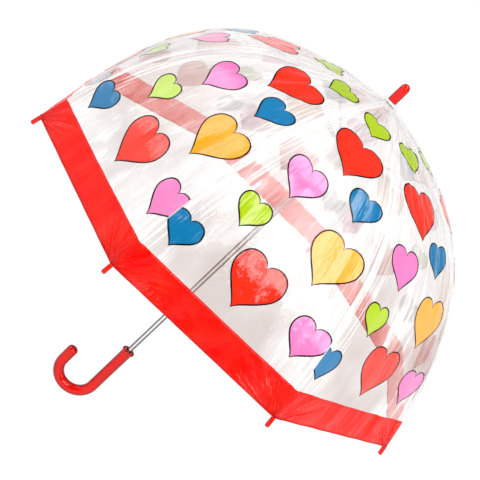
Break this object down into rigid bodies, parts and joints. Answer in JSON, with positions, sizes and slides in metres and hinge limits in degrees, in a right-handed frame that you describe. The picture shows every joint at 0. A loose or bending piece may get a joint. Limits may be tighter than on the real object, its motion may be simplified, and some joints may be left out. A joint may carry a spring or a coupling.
{
  "type": "children's dome umbrella",
  "caption": "Child's clear dome umbrella with printed hearts, a red border band, a chrome shaft and a red crook handle; it slides open and shut.",
  "frame": {"origin": "on the shaft axis, level with the lowest point of the crook", "axes": "+Z along the shaft towards the ferrule; the crook bends towards -X; the ribs lie halfway between and either side of the X and Y axes"},
  "size_m": [0.6582, 0.6582, 0.7028],
  "materials": {
    "chrome_tube": "polished chrome-plated steel tube",
    "red_plastic": "glossy moulded red plastic",
    "white_plastic": "satin moulded white plastic",
    "white_fibreglass": "smooth white glass-fibre rod",
    "steel_wire": "zinc-plated steel",
    "spring_steel": "bright spring steel",
    "clear_film": "clear soft vinyl film, printed, with an opaque red border band"
  },
  "bodies": {
    "frame": {"shaft_tube": "chrome_tube", "crook_handle": "red_plastic", "ferrule_cap": "red_plastic", "crown_washer": "white_plastic", "crown_notch": "white_plastic", "notch_wire": "steel_wire"},
    "runner": {"runner": "white_plastic", "runner_wire": "steel_wire"},
    "top_catch": {"top_catch": "spring_steel"},
    "bottom_catch": {"bottom_catch": "spring_steel"},
    "upper_rib_1": {"upper_rib_1": "white_fibreglass", "crown_film_1": "clear_film"},
    "lower_rib_1": {"lower_rib_1": "white_fibreglass", "rib_tip_1": "red_plastic", "skirt_film_1": "clear_film"},
    "stretcher_1": {"stretcher_1": "steel_wire"},
    "upper_rib_2": {"upper_rib_2": "white_fibreglass", "crown_film_2": "clear_film"},
    "lower_rib_2": {"lower_rib_2": "white_fibreglass", "rib_tip_2": "red_plastic", "skirt_film_2": "clear_film"},
    "stretcher_2": {"stretcher_2": "steel_wire"},
    "upper_rib_3": {"upper_rib_3": "white_fibreglass", "crown_film_3": "clear_film"},
    "lower_rib_3": {"lower_rib_3": "white_fibreglass", "rib_tip_3": "red_plastic", "skirt_film_3": "clear_film"},
    "stretcher_3": {"stretcher_3": "steel_wire"},
    "upper_rib_4": {"upper_rib_4": "white_fibreglass", "crown_film_4": "clear_film"},
    "lower_rib_4": {"lower_rib_4": "white_fibreglass", "rib_tip_4": "red_plastic", "skirt_film_4": "clear_film"},
    "stretcher_4": {"stretcher_4": "steel_wire"},
    "upper_rib_5": {"upper_rib_5": "white_fibreglass", "crown_film_5": "clear_film"},
    "lower_rib_5": {"lower_rib_5": "white_fibreglass", "rib_tip_5": "red_plastic", "skirt_film_5": "clear_film"},
    "stretcher_5": {"stretcher_5": "steel_wire"},
    "upper_rib_6": {"upper_rib_6": "white_fibreglass", "crown_film_6": "clear_film"},
    "lower_rib_6": {"lower_rib_6": "white_fibreglass", "rib_tip_6": "red_plastic", "skirt_film_6": "clear_film"},
    "stretcher_6": {"stretcher_6": "steel_wire"},
    "upper_rib_7": {"upper_rib_7": "white_fibreglass", "crown_film_7": "clear_film"},
    "lower_rib_7": {"lower_rib_7": "white_fibreglass", "rib_tip_7": "red_plastic", "skirt_film_7": "clear_film"},
    "stretcher_7": {"stretcher_7": "steel_wire"},
    "upper_rib_8": {"upper_rib_8": "white_fibreglass", "crown_film_8": "clear_film"},
    "lower_rib_8": {"lower_rib_8": "white_fibreglass", "rib_tip_8": "red_plastic", "skirt_film_8": "clear_film"},
    "stretcher_8": {"stretcher_8": "steel_wire"}
  },
  "joints": [
    {"name": "runner_slide", "type": "slide", "parent": "frame", "child": "runner", "axis": [0, 0, -1], "range_m": [0, 0.213], "deforming": ["crown_film_1", "skirt_film_1", "crown_film_2", "skirt_film_2", "crown_film_3", "skirt_film_3", "crown_film_4", "skirt_film_4", "crown_film_5", "skirt_film_5", "crown_film_6", "skirt_film_6", "crown_film_7", "skirt_film_7", "crown_film_8", "skirt_film_8"]},
    {"name": "crown_hinge_1", "type": "hinge", "parent": "frame", "child": "upper_rib_1", "pos_m": [0.01063, 0.0044, 0.659], "axis": [-0.3827, 0.9239, 0], "range_deg": [0, 70.01]},
    {"name": "rib_flex_1", "type": "hinge", "parent": "upper_rib_1", "child": "lower_rib_1", "pos_m": [0.14915, 0.06178, 0.61973], "axis": [0.3827, -0.9239, 0], "range_deg": [0, 40.26]},
    {"name": "stretcher_hinge_1", "type": "hinge", "parent": "upper_rib_1", "child": "stretcher_1", "pos_m": [0.14155, 0.05863, 0.61847], "axis": [0.3827, -0.9239, 0], "range_deg": [0, 140.03]},
    {"name": "crown_hinge_2", "type": "hinge", "parent": "frame", "child": "upper_rib_2", "pos_m": [0.0044, 0.01063, 0.659], "axis": [-0.9239, 0.3827, 0], "range_deg": [0, 70.01]},
    {"name": "rib_flex_2", "type": "hinge", "parent": "upper_rib_2", "child": "lower_rib_2", "pos_m": [0.06178, 0.14915, 0.61973], "axis": [0.9239, -0.3827, 0], "range_deg": [0, 40.26]},
    {"name": "stretcher_hinge_2", "type": "hinge", "parent": "upper_rib_2", "child": "stretcher_2", "pos_m": [0.05863, 0.14155, 0.61847], "axis": [0.9239, -0.3827, 0], "range_deg": [0, 140.03]},
    {"name": "crown_hinge_3", "type": "hinge", "parent": "frame", "child": "upper_rib_3", "pos_m": [-0.0044, 0.01063, 0.659], "axis": [-0.9239, -0.3827, 0], "range_deg": [0, 70.01]},
    {"name": "rib_flex_3", "type": "hinge", "parent": "upper_rib_3", "child": "lower_rib_3", "pos_m": [-0.06178, 0.14915, 0.61973], "axis": [0.9239, 0.3827, 0], "range_deg": [0, 40.26]},
    {"name": "stretcher_hinge_3", "type": "hinge", "parent": "upper_rib_3", "child": "stretcher_3", "pos_m": [-0.05863, 0.14155, 0.61847], "axis": [0.9239, 0.3827, 0], "range_deg": [0, 140.03]},
    {"name": "crown_hinge_4", "type": "hinge", "parent": "frame", "child": "upper_rib_4", "pos_m": [-0.01063, 0.0044, 0.659], "axis": [-0.3827, -0.9239, 0], "range_deg": [0, 70.01]},
    {"name": "rib_flex_4", "type": "hinge", "parent": "upper_rib_4", "child": "lower_rib_4", "pos_m": [-0.14915, 0.06178, 0.61973], "axis": [0.3827, 0.9239, 0], "range_deg": [0, 40.26]},
    {"name": "stretcher_hinge_4", "type": "hinge", "parent": "upper_rib_4", "child": "stretcher_4", "pos_m": [-0.14155, 0.05863, 0.61847], "axis": [0.3827, 0.9239, 0], "range_deg": [0, 140.03]},
    {"name": "crown_hinge_5", "type": "hinge", "parent": "frame", "child": "upper_rib_5", "pos_m": [-0.01063, -0.0044, 0.659], "axis": [0.3827, -0.9239, 0], "range_deg": [0, 70.01]},
    {"name": "rib_flex_5", "type": "hinge", "parent": "upper_rib_5", "child": "lower_rib_5", "pos_m": [-0.14915, -0.06178, 0.61973], "axis": [-0.3827, 0.9239, 0], "range_deg": [0, 40.26]},
    {"name": "stretcher_hinge_5", "type": "hinge", "parent": "upper_rib_5", "child": "stretcher_5", "pos_m": [-0.14155, -0.05863, 0.61847], "axis": [-0.3827, 0.9239, 0], "range_deg": [0, 140.03]},
    {"name": "crown_hinge_6", "type": "hinge", "parent": "frame", "child": "upper_rib_6", "pos_m": [-0.0044, -0.01063, 0.659], "axis": [0.9239, -0.3827, 0], "range_deg": [0, 70.01]},
    {"name": "rib_flex_6", "type": "hinge", "parent": "upper_rib_6", "child": "lower_rib_6", "pos_m": [-0.06178, -0.14915, 0.61973], "axis": [-0.9239, 0.3827, 0], "range_deg": [0, 40.26]},
    {"name": "stretcher_hinge_6", "type": "hinge", "parent": "upper_rib_6", "child": "stretcher_6", "pos_m": [-0.05863, -0.14155, 0.61847], "axis": [-0.9239, 0.3827, 0], "range_deg": [0, 140.03]},
    {"name": "crown_hinge_7", "type": "hinge", "parent": "frame", "child": "upper_rib_7", "pos_m": [0.0044, -0.01063, 0.659], "axis": [0.9239, 0.3827, 0], "range_deg": [0, 70.01]},
    {"name": "rib_flex_7", "type": "hinge", "parent": "upper_rib_7", "child": "lower_rib_7", "pos_m": [0.06178, -0.14915, 0.61973], "axis": [-0.9239, -0.3827, 0], "range_deg": [0, 40.26]},
    {"name": "stretcher_hinge_7", "type": "hinge", "parent": "upper_rib_7", "child": "stretcher_7", "pos_m": [0.05863, -0.14155, 0.61847], "axis": [-0.9239, -0.3827, 0], "range_deg": [0, 140.03]},
    {"name": "crown_hinge_8", "type": "hinge", "parent": "frame", "child": "upper_rib_8", "pos_m": [0.01063, -0.0044, 0.659], "axis": [0.3827, 0.9239, 0], "range_deg": [0, 70.01]},
    {"name": "rib_flex_8", "type": "hinge", "parent": "upper_rib_8", "child": "lower_rib_8", "pos_m": [0.14915, -0.06178, 0.61973], "axis": [-0.3827, -0.9239, 0], "range_deg": [0, 40.26]},
    {"name": "stretcher_hinge_8", "type": "hinge", "parent": "upper_rib_8", "child": "stretcher_8", "pos_m": [0.14155, -0.05863, 0.61847], "axis": [-0.3827, -0.9239, 0], "range_deg": [0, 140.03]},
    {"name": "top_catch_press", "type": "hinge", "parent": "frame", "child": "top_catch", "pos_m": [0.0017, 0, 0.50915], "axis": [0, -1, 0], "range_deg": [0, 8], "stiffness_Nm_per_rad": 0.4},
    {"name": "bottom_catch_press", "type": "hinge", "parent": "frame", "child": "bottom_catch", "pos_m": [0.0017, 0, 0.34694], "axis": [0, 1, 0], "range_deg": [0, 8], "stiffness_Nm_per_rad": 0.4}
  ],
  "couplings": [
    {"joint": "crown_hinge_1", "follows": "runner_slide", "rad_per_m": 5.737},
    {"joint": "rib_flex_1", "follows": "runner_slide", "rad_per_m": 3.299},
    {"joint": "stretcher_hinge_1", "follows": "runner_slide", "rad_per_m": 11.474},
    {"joint": "crown_hinge_2", "follows": "runner_slide", "rad_per_m": 5.737},
    {"joint": "rib_flex_2", "follows": "runner_slide", "rad_per_m": 3.299},
    {"joint": "stretcher_hinge_2", "follows": "runner_slide", "rad_per_m": 11.474},
    {"joint": "crown_hinge_3", "follows": "runner_slide", "rad_per_m": 5.737},
    {"joint": "rib_flex_3", "follows": "runner_slide", "rad_per_m": 3.299},
    {"joint": "stretcher_hinge_3", "follows": "runner_slide", "rad_per_m": 11.474},
    {"joint": "crown_hinge_4", "follows": "runner_slide", "rad_per_m": 5.737},
    {"joint": "rib_flex_4", "follows": "runner_slide", "rad_per_m": 3.299},
    {"joint": "stretcher_hinge_4", "follows": "runner_slide", "rad_per_m": 11.474},
    {"joint": "crown_hinge_5", "follows": "runner_slide", "rad_per_m": 5.737},
    {"joint": "rib_flex_5", "follows": "runner_slide", "rad_per_m": 3.299},
    {"joint": "stretcher_hinge_5", "follows": "runner_slide", "rad_per_m": 11.474},
    {"joint": "crown_hinge_6", "follows": "runner_slide", "rad_per_m": 5.737},
    {"joint": "rib_flex_6", "follows": "runner_slide", "rad_per_m": 3.299},
    {"joint": "stretcher_hinge_6", "follows": "runner_slide", "rad_per_m": 11.474},
    {"joint": "crown_hinge_7", "follows": "runner_slide", "rad_per_m": 5.737},
    {"joint": "rib_flex_7", "follows": "runner_slide", "rad_per_m": 3.299},
    {"joint": "stretcher_hinge_7", "follows": "runner_slide", "rad_per_m": 11.474},
    {"joint": "crown_hinge_8", "follows": "runner_slide", "rad_per_m": 5.737},
    {"joint": "rib_flex_8", "follows": "runner_slide", "rad_per_m": 3.299},
    {"joint": "stretcher_hinge_8", "follows": "runner_slide", "rad_per_m": 11.474}
  ]
}
